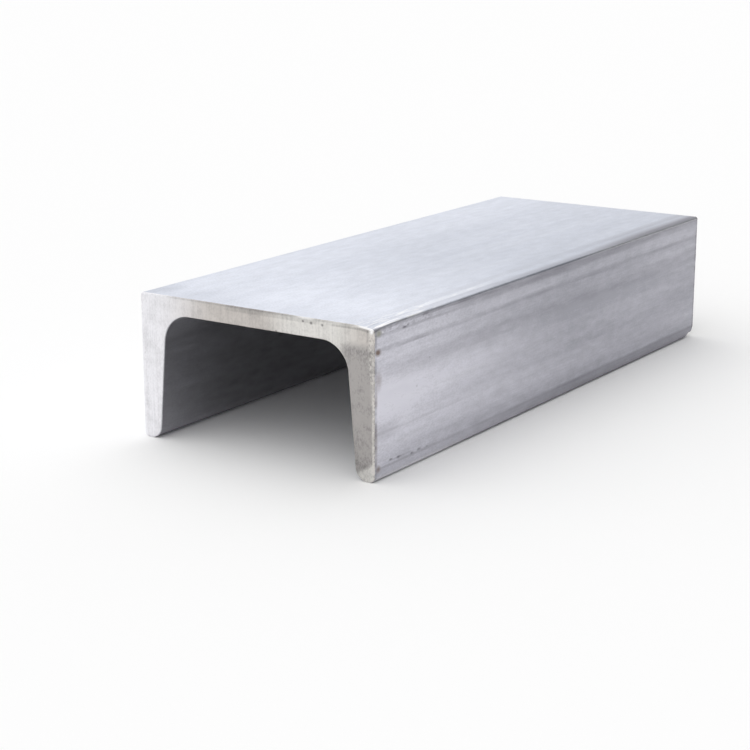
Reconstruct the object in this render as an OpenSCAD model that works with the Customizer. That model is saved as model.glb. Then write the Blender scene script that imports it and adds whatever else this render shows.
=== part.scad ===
// A short length of hot-rolled taper-flange channel, standing on its two toes with the web on top.
// The section lies in the XZ plane, the length runs along Y, and the origin is at the middle of
// the rectangle that the piece covers on the floor.

/* [Section] */
// Depth of the section, across the backs of the two flanges
section_depth = 75; // [60:1:120]
// Width of a flange, from the back of the web to the toe
flange_width = 40; // [32:1:60]
// Thickness of the web
web_thickness = 5; // [3:0.5:9]
// Thickness of a flange, midway along its free width
flange_thickness = 7; // [5:0.5:11]
// Slope of a flange's inner face, in degrees
flange_slope = 5; // [0:0.5:8]

/* [Rolled radii] */
// Radius of the root, inside, where the web meets a flange
root_radius = 8; // [2:0.5:11]
// Radius of a toe's inner edge
toe_radius = 3.5; // [1:0.5:6]
// Radius of a toe's outer edge
toe_back_radius = 1.5; // [0.2:0.1:2]
// Radius of the heel, outside, where the web meets a flange
heel_radius = 0.8; // [0.4:0.1:4]

/* [Cut length] */
// Length between the two sawn ends
piece_length = 190; // [40:1:1000]

/* [Hidden] */
$fn = 180;
steel = [0.72, 0.73, 0.75];

// A flange tapers about the middle of its free width, where its thickness is measured
free_width = flange_width - web_thickness;
half_taper = free_width / 2 * tan(flange_slope);
toe_thickness = flange_thickness - half_taper;
root_thickness = flange_thickness + half_taper;
tapered_angle = 90 + flange_slope;

// A toe keeps this much flat to stand on, and the rounding of its inner edge stops there
toe_flat_least = 0.5;
toe_room = (toe_thickness - toe_back_radius - toe_flat_least) * tan(tapered_angle / 2);
toe_round = min(toe_radius, toe_room);

// Sharp corners of one half of the section, in order from the heel round to the root
half_depth = section_depth / 2;
heel = [half_depth, flange_width];
toe_back = [half_depth, 0];
toe = [half_depth - toe_thickness, 0];
root = [half_depth - root_thickness, free_width];

// An arc sinks this far into the two sides of its corner, so that it crosses them cleanly
arc_bite = 0.002;
// The region that an arc leaves over at its corner reaches this far past the two sides
side_margin = web_thickness / 4;

// The region between a sharp corner and the arc that rounds it.
// The corner is at the origin, with one side along +X and the other turned from it by the angle.
module corner_region(radius, angle) {
    tangent = radius / tan(angle / 2);
    centre = [tangent, radius];
    other_side = tangent * [cos(angle), sin(angle)];
    spread = 1 + side_margin / radius;
    translate(centre) difference() {
        polygon(spread * [[0, 0], [0, -radius], -centre, other_side - centre]);
        circle(radius + arc_bite);
    }
}

module both_flanges() {
    children();
    mirror([1, 0]) children();
}

// Web and tapered flanges with every corner sharp
module sharp_section() {
    half = [heel, toe_back, toe, root];
    other_half = [for (i = [len(half) - 1:-1:0]) [-half[i].x, half[i].y]];
    polygon(concat(half, other_half));
}

// The same section with its roots filled and its outer corners taken off
module rolled_section() {
    difference() {
        union() {
            sharp_section();
            both_flanges() translate(root) rotate(180) corner_region(root_radius, tapered_angle);
        }
        both_flanges() {
            translate(heel) rotate(180) corner_region(heel_radius, 90);
            translate(toe_back) rotate(90) corner_region(toe_back_radius, 90);
            translate(toe) corner_region(toe_round, tapered_angle);
        }
    }
}

module channel() {
    color(steel)
        rotate([90, 0, 0])
            linear_extrude(height = piece_length, center = true) rolled_section();
}

channel();
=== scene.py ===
"""A sawn length of hot-rolled steel channel on a studio floor, laid out as a Blender add-on."""

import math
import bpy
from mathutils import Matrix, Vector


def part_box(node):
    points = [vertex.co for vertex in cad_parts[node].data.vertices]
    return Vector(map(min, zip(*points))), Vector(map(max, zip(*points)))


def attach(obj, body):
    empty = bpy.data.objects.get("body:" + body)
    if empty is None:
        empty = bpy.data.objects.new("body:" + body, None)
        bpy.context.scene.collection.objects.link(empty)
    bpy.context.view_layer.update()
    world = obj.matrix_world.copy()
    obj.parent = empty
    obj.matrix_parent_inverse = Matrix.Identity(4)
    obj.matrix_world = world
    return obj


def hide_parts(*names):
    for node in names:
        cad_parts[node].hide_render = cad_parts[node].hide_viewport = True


bl_info = {
    "name": "Rolled Channel",
    "version": (1, 0, 0),
    "blender": (4, 5, 0),
    "location": "View3D > Sidebar > Channel",
    "description": "Models a sawn length of hot-rolled channel and sets it on a studio floor",
    "category": "Object",
}

import bmesh
import bpy
from mathutils import Vector, noise

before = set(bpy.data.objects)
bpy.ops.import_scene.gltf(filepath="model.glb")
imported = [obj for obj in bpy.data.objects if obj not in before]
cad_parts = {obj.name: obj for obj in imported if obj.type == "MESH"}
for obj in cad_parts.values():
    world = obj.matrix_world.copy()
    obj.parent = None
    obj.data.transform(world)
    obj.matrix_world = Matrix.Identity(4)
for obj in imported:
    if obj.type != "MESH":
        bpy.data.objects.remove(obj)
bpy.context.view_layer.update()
LOW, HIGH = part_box("channel")
SIZE = HIGH - LOW
MM = 0.001
# Places closer together than this count as one
NEAR = 0.01 * MM


class ChannelSection(bpy.types.PropertyGroup):
    """Sizes of the rolled section and of the length that was sawn off."""

    depth: bpy.props.FloatProperty(
        name="Depth", description="Across the backs of the two flanges", default=SIZE.x, unit="LENGTH"
    )
    flange_width: bpy.props.FloatProperty(
        name="Flange width", description="From the back of the web to the toes", default=SIZE.z, unit="LENGTH"
    )
    length: bpy.props.FloatProperty(
        name="Length", description="Between the two sawn ends", default=SIZE.y, unit="LENGTH"
    )
    web: bpy.props.FloatProperty(
        name="Web", description="Thickness of the web", default=5 * MM, unit="LENGTH"
    )
    flange: bpy.props.FloatProperty(
        name="Flange", description="Thickness of a flange midway along it", default=7 * MM, unit="LENGTH"
    )
    slope: bpy.props.FloatProperty(
        name="Slope", description="Slope of a flange's inner face", default=math.radians(5), subtype="ANGLE"
    )
    root_radius: bpy.props.FloatProperty(
        name="Root radius", description="Inside, where web and flange meet", default=8 * MM, unit="LENGTH"
    )
    toe_radius: bpy.props.FloatProperty(
        name="Toe radius", description="Inner edge of a toe", default=3.5 * MM, unit="LENGTH"
    )
    toe_back_radius: bpy.props.FloatProperty(
        name="Toe back radius", description="Outer edge of a toe", default=1.5 * MM, unit="LENGTH"
    )
    heel_radius: bpy.props.FloatProperty(
        name="Heel radius", description="Outside, where web and flange meet", default=0.8 * MM, unit="LENGTH"
    )

    def half_depth(self):
        return self.depth / 2

    def free_width(self):
        """Length of a flange below the web."""
        return self.flange_width - self.web

    def inner_x(self, z):
        """How far from the middle a flange's sloped inner face is at height z."""
        return self.half_depth() - self.flange + (self.free_width() / 2 - z) * math.tan(self.slope)

    def corners(self, steps):
        """The right half's corners from heel to root: x, z, radius, angle and segments of the round."""
        square = math.radians(90)
        tapered = square + self.slope
        half, free = self.half_depth(), self.free_width()
        return (
            (half, self.flange_width, self.heel_radius, square, steps.heel_segments),
            (half, 0.0, self.toe_back_radius, square, steps.toe_back_segments),
            (self.inner_x(0.0), 0.0, self.toe_radius, tapered, steps.toe_segments),
            (self.inner_x(free), free, self.root_radius, tapered, steps.root_segments),
        )


class MeshSteps(bpy.types.PropertyGroup):
    """How finely the piece is divided, finest where it is seen most."""

    web: bpy.props.FloatProperty(
        name="Web", description="Spacing across the web's back", default=0.48 * MM, unit="LENGTH"
    )
    flange: bpy.props.FloatProperty(
        name="Flange", description="Spacing up a flange's back", default=0.38 * MM, unit="LENGTH"
    )
    inside: bpy.props.FloatProperty(
        name="Inside", description="Spacing round the inside", default=1.1 * MM, unit="LENGTH"
    )
    front_zone: bpy.props.FloatProperty(
        name="Front zone", description="Length of the front end's zone", default=36 * MM, unit="LENGTH"
    )
    front: bpy.props.FloatProperty(
        name="Front", description="Lengthwise spacing in the front zone", default=0.6 * MM, unit="LENGTH"
    )
    middle: bpy.props.FloatProperty(
        name="Middle", description="Lengthwise spacing between the zones", default=1.6 * MM, unit="LENGTH"
    )
    rear_zone: bpy.props.FloatProperty(
        name="Rear zone", description="Length of the rear end's zone", default=8 * MM, unit="LENGTH"
    )
    rear: bpy.props.FloatProperty(
        name="Rear", description="Lengthwise spacing in the rear zone", default=0.5 * MM, unit="LENGTH"
    )
    saw_line: bpy.props.FloatProperty(
        name="Saw line", description="Distance between saw lines", default=0.7 * MM, unit="LENGTH"
    )
    saw_row: bpy.props.FloatProperty(
        name="Saw row", description="Distance between cuts across them", default=5 * MM, unit="LENGTH"
    )
    burr_zone: bpy.props.FloatProperty(
        name="Burr zone", description="Width of the strip that holds the burr", default=3 * MM, unit="LENGTH"
    )
    burr: bpy.props.FloatProperty(
        name="Burr", description="Spacing in that strip", default=0.35 * MM, unit="LENGTH"
    )
    heel_segments: bpy.props.IntProperty(
        name="Heel segments", description="Steps round a heel", default=7, min=1
    )
    toe_back_segments: bpy.props.IntProperty(
        name="Toe back segments", description="Steps round a toe's outer edge", default=5, min=1
    )
    toe_segments: bpy.props.IntProperty(
        name="Toe segments", description="Steps round a toe's inner edge", default=9, min=1
    )
    root_segments: bpy.props.IntProperty(
        name="Root segments", description="Steps round a root", default=14, min=1
    )
    edge_segments: bpy.props.IntProperty(
        name="Edge segments", description="Steps across a broken sawn edge", default=2, min=1
    )


class SurfaceRelief(bpy.types.PropertyGroup):
    """Sizes of the marks that the rolls, the saw and handling left in the steel."""

    edge_break: bpy.props.FloatProperty(
        name="Edge break", description="Chamfer along the sawn edges", default=0.35 * MM, unit="LENGTH"
    )
    wave: bpy.props.FloatProperty(
        name="Wave", description="Depth of the long waves", default=0.12 * MM, unit="LENGTH"
    )
    streak: bpy.props.FloatProperty(
        name="Streak", description="Depth of the rolled streaks", default=0.02 * MM, unit="LENGTH"
    )
    web_streak: bpy.props.FloatProperty(
        name="Web streak", description="Share of that depth on the web's back",
        default=0.5, min=0.0, max=1.0, subtype="FACTOR",
    )
    roll_line: bpy.props.FloatProperty(
        name="Roll line", description="Depth of a roll line of full strength", default=0.4 * MM, unit="LENGTH"
    )
    saw_line: bpy.props.FloatProperty(
        name="Saw line", description="Depth of the saw lines", default=0.03 * MM, unit="LENGTH"
    )
    ragged_edge: bpy.props.FloatProperty(
        name="Ragged edge", description="Raggedness of the front right edge", default=0.3 * MM, unit="LENGTH"
    )
    front_ragged: bpy.props.FloatProperty(
        name="Front ragged", description="Share of it on the front's other edges",
        default=0.3, min=0.0, max=1.0, subtype="FACTOR",
    )
    rear_ragged: bpy.props.FloatProperty(
        name="Rear ragged", description="Share of it on the rear's edges",
        default=0.15, min=0.0, max=1.0, subtype="FACTOR",
    )
    burr: bpy.props.FloatProperty(
        name="Burr", description="Height of the front right edge's beads", default=0.5 * MM, unit="LENGTH"
    )
    burr_foot: bpy.props.FloatProperty(
        name="Burr foot", description="Width of the beads at the toe", default=0.8 * MM, unit="LENGTH"
    )
    burr_spread: bpy.props.FloatProperty(
        name="Burr spread", description="How much wider they are at the top", default=1.4 * MM, unit="LENGTH"
    )
    knocked_length: bpy.props.FloatProperty(
        name="Knocked length", description="Length of the right toe's knocked rear corner",
        default=6.5 * MM, unit="LENGTH",
    )
    knocked_height: bpy.props.FloatProperty(
        name="Knocked height", description="Height of that corner", default=4 * MM, unit="LENGTH"
    )
    worn_toe: bpy.props.FloatProperty(
        name="Worn toe", description="Wear of the right toe's front corner", default=0.12 * MM, unit="LENGTH"
    )
    worn_toe_width: bpy.props.FloatProperty(
        name="Worn toe width", description="Reach of that wear, in and up", default=2.4 * MM, unit="LENGTH"
    )
    worn_toe_length: bpy.props.FloatProperty(
        name="Worn toe length", description="Reach of that wear along the toe", default=16 * MM, unit="LENGTH"
    )
    worn_corner: bpy.props.FloatProperty(
        name="Worn corner", description="Wear of the front right corner", default=0.65 * MM, unit="LENGTH"
    )
    worn_corner_width: bpy.props.FloatProperty(
        name="Worn corner width", description="Reach of that wear across the web",
        default=6 * MM, unit="LENGTH",
    )
    worn_corner_length: bpy.props.FloatProperty(
        name="Worn corner length", description="Reach of that wear along the heel",
        default=14 * MM, unit="LENGTH",
    )
    dent: bpy.props.FloatProperty(
        name="Dent", description="Depth of a dent of full strength", default=0.35 * MM, unit="LENGTH"
    )

    def border(self):
        """Width of the plain strip along a sawn edge."""
        return 2 * self.edge_break


class SteelColours(bpy.types.PropertyGroup):
    """Colours of the pickled skin, the sawn ends, the marks on them, and painted light and shade."""

    light_skin: bpy.props.FloatVectorProperty(
        name="Light skin", description="Clean rolled steel on the web", subtype="COLOR",
        default=(0.785, 0.81, 0.885),
    )
    rubbed_skin: bpy.props.FloatVectorProperty(
        name="Rubbed skin", description="Clean rolled steel on the flanges", subtype="COLOR",
        default=(0.795, 0.79, 0.855),
    )
    dull_skin: bpy.props.FloatVectorProperty(
        name="Dull skin", description="Rolled steel on the flanges in a dark streak", subtype="COLOR",
        default=(0.39, 0.39, 0.435),
    )
    dull_web: bpy.props.FloatVectorProperty(
        name="Dull web", description="Rolled steel on the web in a dark streak", subtype="COLOR",
        default=(0.375, 0.40, 0.465),
    )
    # Painted shade on the steel inside the channel
    inner_skin: bpy.props.FloatVectorProperty(
        name="Inner skin", description="Rolled steel inside, which nothing rubs", subtype="COLOR",
        default=(0.27, 0.27, 0.285),
    )
    # Also the colour of the painted highlights and painted light
    scuff: bpy.props.FloatVectorProperty(
        name="Scuff", description="Steel that is rubbed bright", subtype="COLOR",
        default=(0.94, 0.94, 0.95),
    )
    # Also the colour of painted shade on the rolled skin
    skin_grime: bpy.props.FloatVectorProperty(
        name="Skin grime", description="Dirt on the rolled skin", subtype="COLOR",
        default=(0.162, 0.155, 0.183),
    )
    # Also the colour of painted shade and shadow lines on the sawn faces
    grime: bpy.props.FloatVectorProperty(
        name="Grime", description="Dirt on the sawn faces", subtype="COLOR",
        default=(0.16, 0.155, 0.155),
    )
    stain: bpy.props.FloatVectorProperty(
        name="Stain", description="Dull spot by the front corner", subtype="COLOR",
        default=(0.37, 0.37, 0.31),
    )
    rust: bpy.props.FloatVectorProperty(
        name="Rust", description="Spots by the sawn edge", subtype="COLOR",
        default=(0.22, 0.155, 0.13),
    )
    sawn: bpy.props.FloatVectorProperty(
        name="Sawn", description="Sawn steel", subtype="COLOR",
        default=(0.605, 0.57, 0.54),
    )
    # A painted reflection at the left of the front end
    sawn_clean: bpy.props.FloatVectorProperty(
        name="Sawn clean", description="Sawn steel at its cleanest", subtype="COLOR",
        default=(0.87, 0.865, 0.895),
    )
    sawn_cream: bpy.props.FloatVectorProperty(
        name="Sawn cream", description="Sawn steel right of the middle and on the toe", subtype="COLOR",
        default=(0.765, 0.75, 0.72),
    )
    # Painted shade on the right flange's end
    sawn_dull: bpy.props.FloatVectorProperty(
        name="Sawn dull", description="Sawn steel that has dulled", subtype="COLOR",
        default=(0.43, 0.41, 0.40),
    )
    burr: bpy.props.FloatVectorProperty(
        name="Burr", description="Torn steel along the sawn edge", subtype="COLOR",
        default=(0.74, 0.715, 0.68),
    )


class SteelGloss(bpy.types.PropertyGroup):
    """Roughness and fine bump of the rolled skin and of the sawn faces."""

    skin_roughness: bpy.props.FloatProperty(
        name="Skin roughness", description="Mean roughness of the skin",
        default=0.52, min=0.0, max=1.0, subtype="FACTOR",
    )
    sawn_roughness: bpy.props.FloatProperty(
        name="Sawn roughness", description="Mean roughness of a sawn face",
        default=0.5, min=0.0, max=1.0, subtype="FACTOR",
    )
    skin_bump: bpy.props.FloatProperty(
        name="Skin bump", description="Strength of the skin's bump",
        default=0.25, min=0.0, max=1.0, subtype="FACTOR",
    )
    sawn_bump: bpy.props.FloatProperty(
        name="Sawn bump", description="Strength of a sawn face's bump",
        default=0.4, min=0.0, max=1.0, subtype="FACTOR",
    )
    bump_depth: bpy.props.FloatProperty(
        name="Bump depth", description="Depth of the bump", default=0.04 * MM, unit="LENGTH"
    )


class StudioSettings(bpy.types.PropertyGroup):
    """Floor, light and camera."""

    floor_size: bpy.props.FloatProperty(
        name="Floor size", description="Side of the square floor", default=200.0, unit="LENGTH"
    )
    floor_colour: bpy.props.FloatVectorProperty(
        name="Floor", description="Colour of the floor", subtype="COLOR",
        default=(0.97, 0.97, 0.97),
    )
    light_colour: bpy.props.FloatVectorProperty(
        name="Light", description="Colour of the soft light", subtype="COLOR",
        default=(1.0, 1.0, 1.0),
    )
    light_level: bpy.props.FloatProperty(
        name="Light level", description="Soft light from all round", default=1.0, min=0.0
    )
    shade_side: bpy.props.FloatVectorProperty(
        name="Shade side", description="Where the soft light is dimmest", subtype="DIRECTION",
        default=(0.93, 0.36, 0.1),
    )
    shade_level: bpy.props.FloatProperty(
        name="Shade level", description="Soft light from the shade side", default=0.07, min=0.0
    )
    overhead_level: bpy.props.FloatProperty(
        name="Overhead level", description="Soft light added from straight above", default=0.53, min=0.0
    )
    camera_place: bpy.props.FloatVectorProperty(
        name="Camera place", description="Where the camera stands", subtype="TRANSLATION", unit="LENGTH",
        default=(277.13 * MM, -450.55 * MM, 142.18 * MM),
    )
    camera_heading: bpy.props.FloatProperty(
        name="Camera heading", description="Turn of the view from the channel's length",
        default=math.radians(33.953), subtype="ANGLE",
    )
    camera_dip: bpy.props.FloatProperty(
        name="Camera dip", description="How far the camera looks down",
        default=math.radians(14.889), subtype="ANGLE",
    )
    camera_lens: bpy.props.FloatProperty(
        name="Lens", description="Focal length in millimetres", default=86.78, min=1.0
    )
    camera_sensor: bpy.props.FloatProperty(
        name="Sensor", description="Width of the sensor in millimetres", default=36.0, min=1.0
    )


class Socket:
    """A shader node's output. Arithmetic on it adds Math nodes to its tree."""

    def __init__(self, shader, output):
        self.shader = shader
        self.output = output

    def maths(self, operation, *values):
        return self.shader.add("ShaderNodeMath", {"operation": operation}, dict(enumerate(values)))

    def __add__(self, other):
        return self.maths("ADD", self, other)

    def __sub__(self, other):
        return self.maths("SUBTRACT", self, other)

    def __rsub__(self, other):
        return self.maths("SUBTRACT", other, self)

    def __mul__(self, other):
        return self.maths("MULTIPLY", self, other)

    def __abs__(self):
        return self.maths("ABSOLUTE", self)

    __radd__ = __add__
    __rmul__ = __mul__


class Shader:
    """A node tree, the one method that adds any node to it, and the few patterns the finishes share."""

    def __init__(self, tree):
        self.tree = tree
        self.tree.nodes.clear()

    def add(self, kind, settings, inputs, output=0):
        """A new node with its settings made and its inputs set or linked, as the output that is asked for."""
        node = self.tree.nodes.new(kind)
        for name, value in settings.items():
            setattr(node, name, value)
        for name, value in inputs.items():
            if isinstance(value, Socket):
                self.tree.links.new(value.output, node.inputs[name])
            else:
                node.inputs[name].default_value = value
        return Socket(self, node.outputs[output]) if node.outputs else None

    def vector(self, operation, first, second, output=0):
        return self.add("ShaderNodeVectorMath", {"operation": operation}, {0: first, 1: second}, output)

    def place(self):
        """Where a point of the piece is, in millimetres: the vector, then x, y and z."""
        metres = self.add("ShaderNodeTexCoord", {}, {}, "Object")
        place = self.vector("MULTIPLY", metres, (1 / MM,) * 3)
        return place, *(self.add("ShaderNodeSeparateXYZ", {}, {0: place}, axis) for axis in "XYZ")

    def noise(self, place, grain, detail=2.0, roughness=0.5):
        """Cloudy noise about 0, whose patches are about the grain's three sizes in millimetres."""
        scaled = self.vector("MULTIPLY", place, tuple(1 / size for size in grain))
        clouds = {"Vector": scaled, "Scale": 1.0, "Detail": detail, "Roughness": roughness}
        return self.add("ShaderNodeTexNoise", {}, clouds) - 0.5

    def ramp(self, value, start, end):
        """0 before start, 1 past end, smooth between. Start may be the larger one."""
        return self.add(
            "ShaderNodeMapRange", {"interpolation_type": "SMOOTHSTEP"}, {0: value, 1: start, 2: end}
        )

    def band(self, value, middle, core, fade):
        """1 within core of the middle, falling to 0 over fade."""
        return self.ramp(abs(value - middle), core + fade, core)

    def spot(self, place, centre, radii):
        """1 at the centre, falling to 0 at the three radii in millimetres."""
        fine = tuple(1 / radius for radius in radii)
        target = tuple(a * b for a, b in zip(centre, fine))
        away = self.vector("DISTANCE", self.vector("MULTIPLY", place, fine), target, "Value")
        return self.ramp(away, 1.0, 0.0)

    def mix(self, factor, first, second):
        """The first colour where the factor is 0 and the second where it is 1."""
        # The node's inputs share their names, so those for colours are taken by number
        first_input, second_input, colour_output = 6, 7, 2
        inputs = {0: factor, first_input: first, second_input: second}
        return self.add("ShaderNodeMix", {"data_type": "RGBA"}, inputs, colour_output)

    def metal(self, looks, height, strength, depth):
        """Ends a material in a surface with these looks and a bump of the height."""
        bump = self.add("ShaderNodeBump", {}, {"Strength": strength, "Distance": depth, "Height": height})
        surface = self.add("ShaderNodeBsdfPrincipled", {}, {**looks, "Normal": bump})
        self.add("ShaderNodeOutputMaterial", {}, {"Surface": surface})


def new_finish(name):
    """A material and its shader."""
    material = bpy.data.materials.new(name)
    material.use_nodes = True
    return material, Shader(material.node_tree)


def opaque(colour):
    return (*colour, 1.0)


# The right flange's back and the front end, in the millimetres that the finishes use
BACK = HIGH.x / MM
FRONT = LOW.y / MM
# How far a spot on one of those faces reaches into the steel, in mm
SPOT_DEPTH = 4
# Rust by the front sawn edge of the right flange: y and z of the middle, two radii in mm, and strength
RUST_SPOTS = (
    (-93.2, 33.4, 1.9, 1.3, 1.2), (-93.2, 26.0, 2.4, 3.8, 0.45), (-93.2, 3.3, 1.6, 1.5, 0.7),
    (-94.2, 21.5, 1.0, 3.5, 0.6), (-94.2, 10.0, 1.0, 8.0, 0.5),
)
# A bright speck and a dull stain at that flange's front corner, in the same order
SPECK = (-91.2, 38.15, 0.55, 0.45, 0.8)
STAIN = (-92.9, 38.2, 2.0, 1.4, 0.9)
# Dents and pits on that flange's back near the front end: y, z, length and height in mm, and strength
DENTS = (
    (-81.2, 37.6, 1.6, 0.55, 0.55), (-79.6, 38.0, 0.9, 0.5, 0.5), (-71.5, 38.1, 0.8, 0.4, 0.3),
    (-61.0, 36.9, 0.8, 0.4, 0.3), (-84.5, 39.2, 2.2, 0.5, 0.2), (-71.0, 39.3, 3.2, 0.5, 0.3),
    (-75.5, 21.0, 0.6, 0.5, 0.3), (-69.4, 27.3, 0.6, 0.5, 0.3), (-83.0, 4.3, 8.0, 0.45, 0.25),
    (-87.4, 4.5, 1.3, 0.5, 0.6), (-83.8, 4.3, 1.6, 0.5, 0.5), (-77.6, 3.7, 1.2, 0.55, 0.6),
    (-74.3, 3.9, 1.5, 0.55, 0.6), (-70.5, 3.7, 0.9, 0.4, 0.4), (-92.7, 38.1, 1.8, 1.2, 0.15),
)
# Lines that the rolls left along a flange's back: height, half width and fade in mm, strength near and far
ROLL_LINES = (
    (37.5, 0.1, 0.45, 0.18, 0.03), (33.7, 0.2, 0.6, 0.3, 0.14), (28.0, 1.2, 1.6, 0.05, 0.12),
    (12.4, 0.15, 0.5, 0.1, 0.0), (9.0, 0.15, 0.5, 0.08, 0.0), (3.3, 0.1, 0.45, 0.14, 0.06),
)
# Pits in the front sawn face below the web's back: x, z and radius in mm, and strength
SAWN_PITS = (
    (16.0, 38.95, 0.5, 0.75), (18.5, 38.75, 0.65, 0.75), (21.9, 38.7, 0.6, 0.75), (7.5, 35.2, 0.5, 0.75),
)
# A painted highlight on the knocked right corner of that face, in the same order
GLINT = (36.7, 38.8, 0.9, 1.0)


def flange_spot(shader, place, along, up, length, tall, strength):
    """A spot on the right flange's back."""
    return strength * shader.spot(place, (BACK, along, up), (SPOT_DEPTH, length, tall))


def front_spot(shader, place, across, up, radius, strength):
    """A round spot on the front sawn face."""
    return strength * shader.spot(place, (across, FRONT, up), (radius, SPOT_DEPTH, radius))


# Masks of the finishes: each is a sum of strengths times where along x, y and z, in mm, they hold
def web_tone(shader, x, y):
    """How light the web's back is, with painted light and shade: lightest at the left and towards the front.
    """
    across = 0.22 * shader.ramp(x, -34, -14) + 0.13 * shader.ramp(x, 0, 30)
    across = across * (0.05 + 0.95 * shader.ramp(y, -75, 5))
    front = 0.1 * shader.ramp(y, -55, -80) * shader.ramp(x, -20, 0)
    sawn_end = 0.1 * shader.ramp(y, -80, -92) + 0.2 * shader.ramp(y, -74, -88) * shader.ramp(x, -28, -35)
    scuffed = 0.1 * shader.ramp(x, 28, 33) * shader.ramp(y, -60, -72)
    left_edge = 0.1 * shader.ramp(x, -32, -36) * shader.ramp(y, -70, 0)
    return 0.8 + front - across - sawn_end - scuffed - left_edge


def web_shoulder(shader, x, y):
    """Painted shade on the web's back beside the right arris: more, and further in, towards the rear."""
    rear = shader.ramp(y, 10, 60)
    strength = 0.14 * shader.ramp(y, -85, -60) + 0.22 * shader.ramp(y, -55, -10) + 0.22 * rear
    edge = strength * shader.ramp(x, 33.9 - 0.9 * rear, 36.5) * shader.ramp(x, 37.7, 36.7)
    shelf = 0.09 * shader.band(x, 31, 0.7, 1.3) * shader.ramp(y, -85, -65)
    gap = 0.1 * shader.band(x, 35.1, 0.3, 0.7) * shader.ramp(y, -25, -45)
    return edge + shelf + gap + 0.2 * rear * shader.ramp(x, 29, 32)


def web_scuff(shader, place, x, y):
    """How bright the web's back is rubbed: the front right arris, scratches beside it and a long streak."""
    dashes = shader.ramp(shader.noise(place, (0.6, 5, 0.5)), 0.0, 0.12)
    arris = shader.ramp(x, 35.2, 36.6) * shader.ramp(y, -70, -84) * (0.15 + 0.5 * dashes)
    scratches = 0.6 * shader.ramp(x, 29, 34) * shader.ramp(y, -60, -74) * dashes
    streak = shader.band(x, 33.7, 0.4, 1.0) * shader.band(y, -56, 14, 14) * (0.14 + 0.28 * dashes)
    return arris + scratches + streak


def flange_tone(shader, y, z):
    """How light a flange's back is: lighter at the front, darker further back, and with painted light low
    down.
    """
    rubbed = 0.28 + 0.17 * shader.ramp(z, 14, 24) + 0.36 * shader.band(z, 20, 3, 14)
    brightest = 0.14 * shader.ramp(y, -68, -82) * shader.band(z, 20, 3, 6)
    rear_top = 0.2 * shader.ramp(y, 42, 75) * shader.ramp(z, 24, 31)
    # Painted light low on the flange, against the shaded floor that it reflects
    low = (0.24 - 0.1 * shader.ramp(y, 20, 50)) * shader.band(z, 10, 1.5, 3.5)
    low = low + 0.12 * shader.ramp(z, 7, 4.5) + 0.15 * shader.ramp(y, 25, -30) * shader.ramp(z, 11, 8)
    middle = 0.03 * shader.band(z, 19.5, 2, 4.5)
    middle = middle + 0.06 * shader.ramp(y, 30, -20) * shader.band(z, 14.5, 1.5, 4)
    high = 0.12 * shader.band(y, -22, 8, 25) + 0.12 * shader.band(y, 30, 20, 60)
    high = (0.02 + high + 0.12 * shader.ramp(y, -45, -65)) * shader.band(z, 36.0, 0.9, 1.0)
    return 0.1 + rubbed * shader.ramp(y, 15, -90) + brightest + rear_top + low + middle + high


def flange_grime(shader, place, y, z):
    """Dirt and painted shade on a flange's back: painted shade along the heel, darker at the toe and along
    the sawn ends, dirt in the roll lines and in the right flange's dents.
    """
    uneven = shader.ramp(shader.noise(place, (2, 16, 2)), -0.14, 0.16)
    speckled = shader.ramp(shader.noise(place, (1, 1.8, 0.6), 3.0), 0.0, 0.12)
    front = shader.ramp(y, -20, -75)
    risen = z - 0.5 * shader.ramp(y, -10, 60)
    # Painted shade along the heel and just under the arris, with dark specks near the front
    heel = shader.ramp(risen, 36.4, 38.6) * shader.ramp(z, 39.8, 38.9)
    heel = heel * shader.ramp(y, -75, -35) * (0.28 + 0.28 * uneven)
    heel = heel + shader.band(z, 39.3, 0.2, 0.45) * shader.ramp(y, -35, -60) * (0.2 + 0.4 * uneven)
    heel = heel + 0.24 * speckled * shader.band(z, 38.4, 0.4, 0.8) * shader.band(y, -82, 9, 12)
    toe = shader.ramp(z, 4.3, 3.2) * (0.3 - 0.26 * front)
    sawn_edge = shader.ramp(abs(y), 93.4, 94.3) * (0.1 + 0.4 * uneven)
    patches = 0.12 * shader.band(z, 27.0, 1.4, 2.6) * shader.band(y, -62, 14, 24)
    patches = patches + 0.2 * shader.band(z, 12.5, 1.2, 1.6) * shader.ramp(y, -80, -90)
    grime = heel + toe + sawn_edge + patches
    for height, half_width, fade, near, far in ROLL_LINES:
        strength = (far + (near - far) * front) * (0.5 + uneven)
        grime = grime + strength * shader.band(z, height, half_width, fade)
    for dent in DENTS:
        grime = grime + flange_spot(shader, place, *dent)
    return grime


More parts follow.
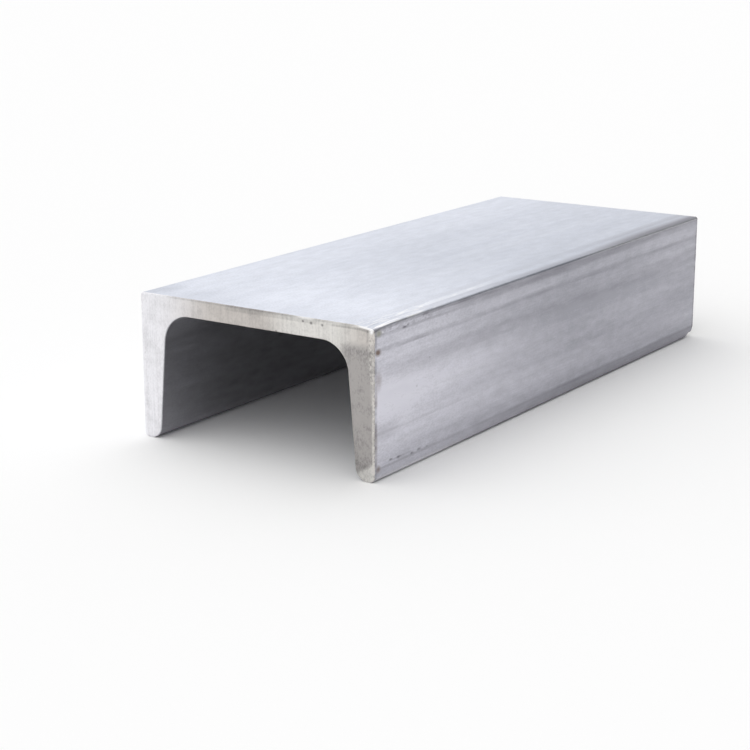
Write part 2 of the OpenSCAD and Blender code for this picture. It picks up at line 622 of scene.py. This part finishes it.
def rolled_skin(colours, gloss):
    """Pickled mill finish: streaks along the length, a scuffed front corner, painted shade inside and along
    the heel, painted light on the toe and heel, dirt and rust.
    """
    material, shader = new_finish("rolled_skin")
    place, x, y, z = shader.place()
    patches = shader.noise(place, (10, 90, 6))
    streaks = shader.noise(place, (1.9, 80, 1.9))
    hairlines = shader.noise(place, (0.5, 22, 0.5))
    mottle = shader.noise(place, (2.2, 6, 1.8), 3.0)
    grain = shader.noise(place, (0.4, 0.9, 0.4), 2.0, 0.6)
    web_back = shader.ramp(z, 39.2, 39.8)
    flange_back = shader.ramp(abs(x), 36.9, 37.3) * shader.ramp(z, 39.95, 39.55)
    inside = (1.0 - web_back) * (1.0 - flange_back)

    # Steel between its dull and its light tone, with painted light and shade on the web's back and painted
    # light low on the flanges
    tone = 0.5 + (web_tone(shader, x, y) - 0.5) * web_back
    tone = tone + (flange_tone(shader, y, z) - 0.5) * flange_back
    drawn = (0.32 * streaks + 0.25 * hairlines) * (1.0 - 0.75 * web_back)
    near_front = shader.ramp(y, -30, -75)
    speckle = (0.7 - 0.2 * web_back) * mottle + (0.35 - 0.05 * web_back + 0.32 * near_front) * grain
    tone = tone + (0.6 - 0.25 * web_back) * patches + drawn + speckle
    light = shader.mix(web_back, opaque(colours.rubbed_skin), opaque(colours.light_skin))
    dull = shader.mix(web_back, opaque(colours.dull_skin), opaque(colours.dull_web))
    colour = shader.mix(tone, dull, light)
    # Painted shade inside the channel, lifted towards the open ends and the toes
    cleaner = 0.3 * shader.ramp(abs(y), 60, 95) + 0.25 * shader.ramp(z, 3.2, 1.2)
    dulled = inside * (0.85 - cleaner + 0.5 * mottle + 0.5 * patches)
    colour = shader.mix(dulled, colour, opaque(colours.inner_skin))

    # What handling and weather left on it, with painted light on the rounds of toe and heel, and painted
    # shade along the heel and the web's shoulder
    # Painted light on the right toe's round at the front and on the heel's round towards the rear
    rubbed_toe = 0.5 * shader.ramp(z, 1.6, 0.8) * shader.ramp(y, -40, -70) * shader.ramp(x, 34, 35)
    rubbed_heel = 0.5 * shader.band(z, 39.6, 0.2, 0.2) * shader.ramp(y, 0, 40) * shader.ramp(x, 36.8, 37.1)
    scuff = web_scuff(shader, place, x, y) * web_back + rubbed_toe + rubbed_heel
    scuff = scuff + flange_spot(shader, place, *SPECK)
    grime = flange_grime(shader, place, y, z) * flange_back + web_shoulder(shader, x, y) * web_back
    rust = 0.0
    for spot in RUST_SPOTS:
        rust = flange_spot(shader, place, *spot) + rust
    rust = rust * (0.85 + 2.0 * mottle)
    colour = shader.mix(scuff, colour, opaque(colours.scuff))
    colour = shader.mix(grime, colour, opaque(colours.skin_grime))
    colour = shader.mix(flange_spot(shader, place, *STAIN), colour, opaque(colours.stain))
    colour = shader.mix(rust, colour, opaque(colours.rust))

    roughness = gloss.skin_roughness + 0.3 * streaks + 0.25 * mottle - 0.1 * scuff
    looks = {"Base Color": colour, "Metallic": 1.0 - 0.7 * rust, "Roughness": roughness}
    shader.metal(looks, grain + 0.7 * hairlines + 0.6 * mottle, gloss.skin_bump, gloss.bump_depth)
    return material


def sawn_face(colours, gloss):
    """Sawn steel with upright saw lines: bright with a painted reflection at the left, painted shade down the
    right flange, painted highlights along the top, and torn along its edge.
    """
    material, shader = new_finish("sawn_face")
    place, x, y, z = shader.place()
    lines = shader.noise(place, (0.5, 60, 24))
    blotches = shader.noise(place, (5, 60, 3), 3.0)
    grain = shader.noise(place, (0.4, 0.4, 0.6), 2.0, 0.6)
    torn = shader.noise(place, (0.5, 2, 0.6), 3.0)

    # Steel from a painted reflection at the left end to painted shade down the right flange
    colour = shader.mix(shader.ramp(x, -11, -34), opaque(colours.sawn), opaque(colours.sawn_clean))
    colour = shader.mix(shader.band(x, 19, 6, 11), colour, opaque(colours.sawn_cream))
    # Painted shade on the right flange's end, below the web
    dull = shader.ramp(z, 36.6, 33.6) * shader.ramp(x, 26, 30)
    toe_tip = shader.ramp(z - 0.58 * x, -16.0, -17.4) * shader.ramp(x, 20, 30)
    colour = shader.mix(dull, colour, opaque(colours.sawn_dull))
    colour = shader.mix(0.85 * toe_tip, colour, opaque(colours.sawn_cream))
    uneven = dull * (1.0 - 0.7 * toe_tip)
    # Saw lines, blotches and grain, with painted shade low on the right flange's end
    shade = 0.06 + 0.35 * lines + (0.45 + 0.75 * uneven) * blotches + (0.35 + 0.9 * uneven) * grain
    shade = shade + 0.12 * shader.ramp(z, 12, 4) * uneven + 0.08 * shader.band(x, -3, 4, 8)

    # Pits, darker strips along the top edge, and painted shadow lines below it and beside the burr, on the
    # front end alone
    front = shader.ramp(y, -94.2, -94.5)
    high = shader.ramp(z, 18, 34)
    inward = BACK - x + 0.8 * torn
    strip = shader.ramp(inward, 1.0 + 1.1 * high, 0.5 + 0.9 * high)
    below_top = z + 0.65 * shader.ramp(x, 32.5, 39.0)
    pits = 0.2 * shader.ramp(z, 38.4, 38.8) * shader.band(x, 6, 12, 6)
    # Painted shadow below the top edge by the right corner
    pits = pits + 0.35 * shader.band(below_top, 39.15, 0.1, 0.35) * shader.ramp(x, 22, 28)
    # Painted shadow beside the burr, near the top
    pits = pits + 0.2 * shader.band(inward, 2.0, 0.1, 0.35) * shader.ramp(z, 32, 34.5)
    pits = pits + 0.35 * shader.ramp(torn, -0.05, -0.15) * strip
    dark_edge = 0.26 * shader.band(x, -7, 16, 8) + 0.24 * shader.band(x, 26, 5, 3)
    pits = pits + dark_edge * shader.ramp(z, 39.3, 39.75)
    for pit in SAWN_PITS:
        pits = pits + front_spot(shader, place, *pit)
    colour = shader.mix(shade + pits * front, colour, opaque(colours.grime))

    # Beads of the burr, and painted highlights along the top edge and on the right corner, on the front end
    # alone
    beads = shader.ramp(torn, -0.02, 0.08)
    edge = shader.band(inward, 0.3, 0.15, 0.3) * (1.0 - high)
    burr = strip * (0.12 + 0.42 * beads) + 0.34 * edge
    bright = 0.5 * shader.band(x, 16.5, 0.5, 3.0) + 0.8 * shader.ramp(x, 31, 34)
    bright = bright * shader.ramp(below_top, 39.5, 39.7) + front_spot(shader, place, *GLINT)
    colour = shader.mix(burr * front, colour, opaque(colours.burr))
    colour = shader.mix(bright * front, colour, opaque(colours.scuff))

    looks = {"Base Color": colour, "Metallic": 1.0, "Roughness": gloss.sawn_roughness + 0.3 * grain}
    shader.metal(looks, lines + 0.5 * grain, gloss.sawn_bump, gloss.bump_depth)
    return material


def pick(kind, wanted):
    """Selects only those vertices, edges or faces of the edit mesh for which wanted(it) is true."""
    bpy.ops.mesh.select_mode(type={"verts": "VERT", "edges": "EDGE", "faces": "FACE"}[kind])
    bpy.ops.mesh.select_all(action="DESELECT")
    mesh = bmesh.from_edit_mesh(bpy.context.object.data)
    for element in getattr(mesh, kind):
        if wanted(element):
            element.select_set(True)
    mesh.select_flush_mode()
    bmesh.update_edit_mesh(bpy.context.object.data)


def is_near(value, target):
    return abs(value - target) < NEAR


def spaced(start, stop, step):
    """Places between start and stop, evenly spaced by about the step."""
    count = round((stop - start) / step)
    return [start + (stop - start) * i / count for i in range(1, count)]


def draw_section(section):
    """A plate across the front end, cut to the section with every corner sharp."""
    front, free = LOW.y, section.free_width()
    upright, straight = math.radians(90), math.radians(1)

    def below_web(face):
        return face.calc_center_median().z < free

    def between_flanges(face):
        return below_web(face) and is_near(face.calc_center_median().x, 0)

    bpy.ops.object.select_all(action="DESELECT")
    bpy.ops.mesh.primitive_plane_add(
        size=1, location=(0, front, section.flange_width / 2), rotation=(upright, 0, 0)
    )
    bpy.context.object.scale = (section.depth, section.flange_width, 1)
    bpy.ops.object.transform_apply(location=True, rotation=True, scale=True)
    bpy.ops.object.mode_set(mode="EDIT")
    bpy.ops.mesh.select_all(action="SELECT")
    bpy.ops.mesh.bisect(plane_co=(0, front, free), plane_no=(0, 0, 1))
    for side in (1, -1):
        pick("faces", below_web)
        bpy.ops.mesh.bisect(
            plane_co=(side * section.inner_x(0.0), front, 0),
            plane_no=(side * math.cos(section.slope), 0, math.sin(section.slope)),
        )
    pick("faces", between_flanges)
    bpy.ops.mesh.delete(type="FACE")
    bpy.ops.mesh.select_all(action="SELECT")
    bpy.ops.mesh.dissolve_limited(angle_limit=straight)


def round_corners(section, steps):
    """Rounds the heels, the toes and the roots of both halves."""
    for x, z, radius, angle, segments in section.corners(steps):
        pick("verts", lambda vert: is_near(abs(vert.co.x), x) and is_near(vert.co.z, z))
        bpy.ops.mesh.bevel(offset=radius / math.tan(angle / 2), segments=segments, affect="VERTICES")


def divide_outline(section, steps):
    """Cuts the section's straight sides into short steps and fills the outline again."""
    bpy.ops.mesh.select_all(action="SELECT")
    bpy.ops.mesh.delete(type="ONLY_FACE")

    def step(edge):
        x, z = (edge.verts[0].co.xz + edge.verts[1].co.xz) / 2
        if is_near(z, section.flange_width):
            return steps.web
        if is_near(abs(x), section.half_depth()):
            return steps.flange
        return steps.inside

    def cuts(edge):
        return round(edge.calc_length() / step(edge)) - 1

    outline = bmesh.from_edit_mesh(bpy.context.object.data)
    for count in sorted({cuts(edge) for edge in outline.edges if cuts(edge) > 0}):
        pick("edges", lambda edge: cuts(edge) == count)
        bpy.ops.mesh.subdivide(number_cuts=count)
    bpy.ops.mesh.select_all(action="SELECT")
    bpy.ops.mesh.edge_face_add()


def score_end(section, steps, relief):
    """Grids the end, inside a narrow border, along the lines that the saw will leave."""
    front, across, up = Vector((0, LOW.y, 0)), Vector((1, 0, 0)), Vector((0, 0, 1))
    half, top = section.half_depth(), section.flange_width
    burr_side = half - steps.burr_zone
    bpy.ops.mesh.inset(thickness=relief.border(), depth=0)
    bpy.ops.mesh.hide(unselected=True)

    grid = [(across, x) for x in spaced(-half, half, steps.saw_line)]
    grid += [(up, z) for z in spaced(0.0, top, steps.saw_row)]
    for normal, distance in grid:
        bpy.ops.mesh.select_all(action="SELECT")
        bpy.ops.mesh.bisect(plane_co=front + distance * normal, plane_no=normal)

    burr_grid = [(across, x) for x in spaced(burr_side, half, steps.burr)]
    burr_grid += [(up, z) for z in spaced(0.0, top, steps.burr)]
    for normal, distance in burr_grid:
        pick("faces", lambda face: face.calc_center_median().x > burr_side and not face.hide)
        bpy.ops.mesh.bisect(plane_co=front + distance * normal, plane_no=normal)
    bpy.ops.mesh.reveal(select=False)


def draw_out(section, steps):
    """Draws the section out to its length in three zones, each ringed at its own spacing."""
    middle_zone = section.length - steps.front_zone - steps.rear_zone
    zones = ((steps.front_zone, steps.front), (middle_zone, steps.middle), (steps.rear_zone, steps.rear))
    reach = LOW.y
    for length, step in zones:
        pick("faces", lambda face: is_near(face.calc_center_median().y, reach))
        bpy.ops.mesh.extrude_region_move(TRANSFORM_OT_translate={"value": (0, length, 0)})
        pick("edges", lambda edge: is_near(abs(edge.verts[0].co.y - edge.verts[1].co.y), length))
        bpy.ops.mesh.subdivide(number_cuts=round(length / step) - 1)
        reach += length
    bpy.ops.mesh.select_all(action="SELECT")
    bpy.ops.mesh.normals_make_consistent(inside=False)


def break_sawn_edges(steps, relief):
    """Bevels the edges where the rolled faces meet the two saw cuts."""
    steep = math.radians(80)

    def at_saw_cut(edge):
        return is_near(abs(edge.verts[0].co.y), HIGH.y) and edge.calc_face_angle() > steep

    pick("edges", at_saw_cut)
    bpy.ops.mesh.bevel(offset=relief.edge_break, segments=steps.edge_segments, affect="EDGES")


def finish_faces(piece, colours, gloss):
    """Skin on the rolled faces, bare sawn steel on the ends and their broken edges."""
    end_tilt = math.radians(15)
    piece.data.materials.append(rolled_skin(colours, gloss))
    piece.data.materials.append(sawn_face(colours, gloss))
    pick("faces", lambda face: abs(face.normal.y) > math.sin(end_tilt))
    piece.active_material_index = 1
    bpy.ops.object.material_slot_assign()


def weigh(piece, name, weight_at):
    """A vertex group whose weights follow a formula of the place."""
    group = piece.vertex_groups.new(name=name)
    for vertex in piece.data.vertices:
        weight = weight_at(vertex.co)
        if weight > 0:
            group.add((vertex.index,), weight, "REPLACE")


def displace(piece, name, depth, direction="NORMAL", grain=None):
    """Moves a vertex group by the depth or, given a grain in millimetres, up and down by cloudy noise."""
    modifier = piece.modifiers.new(name, "DISPLACE")
    modifier.vertex_group = name
    modifier.direction = direction
    modifier.strength = depth
    modifier.mid_level = 0.0
    modifier.space = "LOCAL"
    grain_frame = None
    if grain:
        modifier.texture = bpy.data.textures.new(name, "CLOUDS")
        modifier.texture.noise_scale = 1.0
        modifier.mid_level = 0.5
        bpy.ops.object.empty_add()
        grain_frame = bpy.context.object
        grain_frame.scale = Vector(grain) * MM
        modifier.texture_coords = "OBJECT"
        modifier.texture_coords_object = grain_frame
        bpy.context.view_layer.update()
    bpy.context.view_layer.objects.active = piece
    bpy.ops.object.modifier_apply(modifier=name)
    if grain_frame:
        bpy.data.objects.remove(grain_frame)


# Grain of the relief's noise: across, along and up, in mm
WAVE_GRAIN = (14, 55, 14)
STREAK_GRAIN = (1.3, 90, 1.3)
RAGGED_GRAIN = (0.8, 0.8, 0.8)
SAW_GRAIN = (0.8, 30, 45)
BURR_GRAIN = (0.6, 0.9, 0.7)
# How a roll line deepens and fades along its length, and what sets the two flanges' noise apart
LINE_MEAN = 0.55
LINE_SWING = 0.9
LINE_WAVE = 24 * MM
FLANGE_SEED = 7.0
# Marks grow to their full depth over this height above the floor
FOOT = 1 * MM


def off_floor(place):
    """0 at the foot of a toe and 1 above it, so that no mark goes through the floor."""
    return min(1.0, max(0.0, place.z / FOOT))


def roll_marks(piece, section, relief):
    """Long waves, fine streaks and the roll lines along the flanges."""
    skin_end = HIGH.y - relief.border()

    def skin(place):
        return off_floor(place) if abs(place.y) < skin_end else 0.0

    def roll_lines(place):
        if not is_near(abs(place.x), section.half_depth()):
            return 0.0
        seed = math.copysign(FLANGE_SEED, place.x)
        weight = 0.0
        for height, half_width, fade, near, far in ROLL_LINES:
            uneven = LINE_MEAN + LINE_SWING * noise.noise((seed, place.y / LINE_WAVE, height))
            away = (place.z / MM - height) / (half_width + fade / 2)
            weight += max(near, far) * uneven * math.exp(-away * away)
        return weight * skin(place)

    def streaks(place):
        return skin(place) * (relief.web_streak if is_near(place.z, section.flange_width) else 1.0)

    weigh(piece, "roll_lines", roll_lines)
    weigh(piece, "waves", skin)
    weigh(piece, "streaks", streaks)
    displace(piece, "roll_lines", -relief.roll_line)
    displace(piece, "waves", relief.wave, grain=WAVE_GRAIN)
    displace(piece, "streaks", relief.streak, grain=STREAK_GRAIN)


def handling_marks(piece, section, relief):
    """Dents on the right flange, and the wear of its front corner and of the toe below."""
    half, top = section.half_depth(), section.flange_width

    def dents(place):
        if place.x < half - section.heel_radius:
            return 0.0
        weight = 0.0
        for along, up, length, tall, strength in DENTS:
            away = math.hypot((place.y / MM - along) / length, (place.z / MM - up) / tall)
            weight += strength * max(0.0, 1.0 - away * away) ** 2
        return min(1.0, weight)

    def worn(place, width, length, from_edge):
        """Full at the front right corner, falling to nothing at the width, the length or the edge's reach."""
        from_back = (half - place.x) / width
        from_end = (place.y - LOW.y) / length
        if max(from_back, from_end, from_edge) > 1:
            return 0.0
        return (1 - from_back) ** 2 * (1 - from_end) ** 2 * (1 - from_edge)

    def worn_corner(place):
        down = (top - place.z) / section.web
        return worn(place, relief.worn_corner_width, relief.worn_corner_length, down)

    def worn_toe(place):
        up = place.z / relief.worn_toe_width
        return worn(place, relief.worn_toe_width, relief.worn_toe_length, up)

    weigh(piece, "dents", dents)
    displace(piece, "dents", -relief.dent)
    weigh(piece, "worn_corner", worn_corner)
    displace(piece, "worn_corner", -relief.worn_corner, "Z")
    weigh(piece, "worn_toe", worn_toe)
    displace(piece, "worn_toe", relief.worn_toe, "Z")


def knock_toe(piece, relief):
    """Rounds the right toe's rear corner, by drawing the square corner in to a quarter of an ellipse."""
    length, height = relief.knocked_length, relief.knocked_height
    deepest = 1 - math.sqrt(0.5)

    def drawn_in(place):
        """How far forward and up a place of the corner moves, as shares of the furthest move."""
        back = (place.y - HIGH.y) / length + 1
        down = 1 - place.z / height
        if place.x < 0 or min(back, down) <= 0:
            return 0.0, 0.0
        share = (1 - max(back, down) / math.hypot(back, down)) / deepest
        return back * share, down * share

    weigh(piece, "toe_forward", lambda place: drawn_in(place)[0])
    weigh(piece, "toe_up", lambda place: drawn_in(place)[1])
    displace(piece, "toe_forward", -length * deepest, "Y")
    displace(piece, "toe_up", height * deepest, "Z")


def saw_marks(piece, section, relief):
    """Upright lines on the sawn faces, ragged edges round them, and a torn lip on the front right edge."""
    half = section.half_depth()
    edge_zone = 1.2 * relief.edge_break

    def sawn(place):
        return 1.0 if is_near(abs(place.y), HIGH.y) else 0.0

    def ragged(place):
        if abs(place.y) < HIGH.y - edge_zone or is_near(abs(place.y), HIGH.y):
            return 0.0
        if place.y > 0:
            return off_floor(place) * relief.rear_ragged
        return off_floor(place) * (1.0 if place.x > half - relief.edge_break else relief.front_ragged)

    def burr(place):
        if place.y > LOW.y + relief.edge_break:
            return 0.0
        width = relief.burr_foot + relief.burr_spread * place.z / section.flange_width
        return max(0.0, 1 - ((half - place.x) / width) ** 2)

    weigh(piece, "ragged_edges", ragged)
    weigh(piece, "saw_lines", sawn)
    weigh(piece, "burr", burr)
    displace(piece, "ragged_edges", relief.ragged_edge, grain=RAGGED_GRAIN)
    displace(piece, "saw_lines", relief.saw_line, "Y", grain=SAW_GRAIN)
    displace(piece, "burr", -relief.burr, "Y", grain=BURR_GRAIN)


class CHANNEL_OT_rolled_channel(bpy.types.Operator):
    """Model the channel: its section, its length, its sawn ends and the marks on them"""

    bl_idname = "channel.rolled_channel"
    bl_label = "Rolled channel"

    def execute(self, context):
        scene = context.scene
        section, steps, relief = scene.channel_section, scene.mesh_steps, scene.surface_relief
        smooth_angle = math.radians(30)
        draw_section(section)
        round_corners(section, steps)
        divide_outline(section, steps)
        score_end(section, steps, relief)
        draw_out(section, steps)
        break_sawn_edges(steps, relief)
        piece = context.object
        piece.name = "rolled_channel"
        finish_faces(piece, scene.steel_colours, scene.steel_gloss)
        bpy.ops.object.mode_set(mode="OBJECT")
        roll_marks(piece, section, relief)
        handling_marks(piece, section, relief)
        saw_marks(piece, section, relief)
        knock_toe(piece, relief)
        bpy.ops.object.select_all(action="DESELECT")
        piece.select_set(True)
        bpy.ops.object.shade_smooth_by_angle(angle=smooth_angle)
        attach(piece, "root")
        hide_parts("channel")
        return {"FINISHED"}


def lay_floor(settings):
    """A wide floor of pale paper."""
    bpy.ops.object.select_all(action="DESELECT")
    bpy.ops.mesh.primitive_plane_add(size=settings.floor_size, location=(0, 0, 0))
    floor = bpy.context.object
    floor.name = "floor"
    paper, shader = new_finish("floor_paper")
    surface = shader.add("ShaderNodeBsdfDiffuse", {}, {"Color": opaque(settings.floor_colour)})
    shader.add("ShaderNodeOutputMaterial", {}, {"Surface": surface})
    floor.data.materials.append(paper)


def light_studio(scene, settings):
    """Soft light from all round: dim on the shade side but not along the horizon, and strongest overhead."""
    # Cosines between which the shade, its rise from the horizon and the overhead light come in
    shade_edge, horizon_edge, overhead_edge = (0.1, 0.8), (0.04, 0.2), (0.4, 1.0)
    world = bpy.data.worlds.new("studio_air")
    scene.world = world
    world.use_nodes = True
    air = Shader(world.node_tree)
    direction = air.add("ShaderNodeTexCoord", {}, {}, "Generated")
    shade_side = Vector(settings.shade_side).normalized()
    towards_shade = air.vector("DOT_PRODUCT", direction, shade_side, "Value")
    upwards = air.vector("DOT_PRODUCT", direction, (0, 0, 1), "Value")
    shade = air.ramp(towards_shade, *shade_edge) * air.ramp(upwards, *horizon_edge)
    shade = shade * (settings.light_level - settings.shade_level)
    overhead = air.ramp(upwards, *overhead_edge) * settings.overhead_level
    level = settings.light_level - shade + overhead
    light = air.add("ShaderNodeBackground", {}, {"Color": opaque(settings.light_colour), "Strength": level})
    air.add("ShaderNodeOutputWorld", {}, {"Surface": light})


def set_camera(scene, settings):
    """A camera at the viewing angle, which sees to the floor's far side."""
    eye = bpy.data.cameras.new("studio_camera")
    eye.sensor_width = settings.camera_sensor
    eye.lens = settings.camera_lens
    eye.clip_start = 10 * MM
    eye.clip_end = 5 * settings.floor_size
    camera = bpy.data.objects.new("studio_camera", eye)
    scene.collection.objects.link(camera)
    camera.location = settings.camera_place
    camera.rotation_euler = (math.pi / 2 - settings.camera_dip, 0, settings.camera_heading)
    scene.camera = camera
    scene.view_settings.view_transform = "Standard"


class CHANNEL_OT_studio(bpy.types.Operator):
    """Lay the floor, light it and set the camera"""

    bl_idname = "channel.studio"
    bl_label = "Studio"

    def execute(self, context):
        settings = context.scene.studio_settings
        lay_floor(settings)
        light_studio(context.scene, settings)
        set_camera(context.scene, settings)
        return {"FINISHED"}


class CHANNEL_PT_sidebar(bpy.types.Panel):
    """Sizes, colours and steps of the channel"""

    bl_idname = "CHANNEL_PT_sidebar"
    bl_label = "Rolled channel"
    bl_space_type = "VIEW_3D"
    bl_region_type = "UI"
    bl_category = "Channel"

    def draw(self, context):
        for name, group in SETTINGS.items():
            for setting in group.__annotations__:
                self.layout.prop(getattr(context.scene, name), setting)
        self.layout.operator(CHANNEL_OT_rolled_channel.bl_idname)
        self.layout.operator(CHANNEL_OT_studio.bl_idname)


SETTINGS = {
    "channel_section": ChannelSection,
    "mesh_steps": MeshSteps,
    "surface_relief": SurfaceRelief,
    "steel_colours": SteelColours,
    "steel_gloss": SteelGloss,
    "studio_settings": StudioSettings,
}
CLASSES = (*SETTINGS.values(), CHANNEL_OT_rolled_channel, CHANNEL_OT_studio, CHANNEL_PT_sidebar)


def register():
    for each in CLASSES:
        bpy.utils.register_class(each)
    for name, group in SETTINGS.items():
        setattr(bpy.types.Scene, name, bpy.props.PointerProperty(type=group))


def unregister():
    for name in SETTINGS:
        delattr(bpy.types.Scene, name)
    for each in reversed(CLASSES):
        bpy.utils.unregister_class(each)


def main():
    register()
    bpy.ops.channel.rolled_channel()
    bpy.ops.channel.studio()


if __name__ == "__main__":
    main()
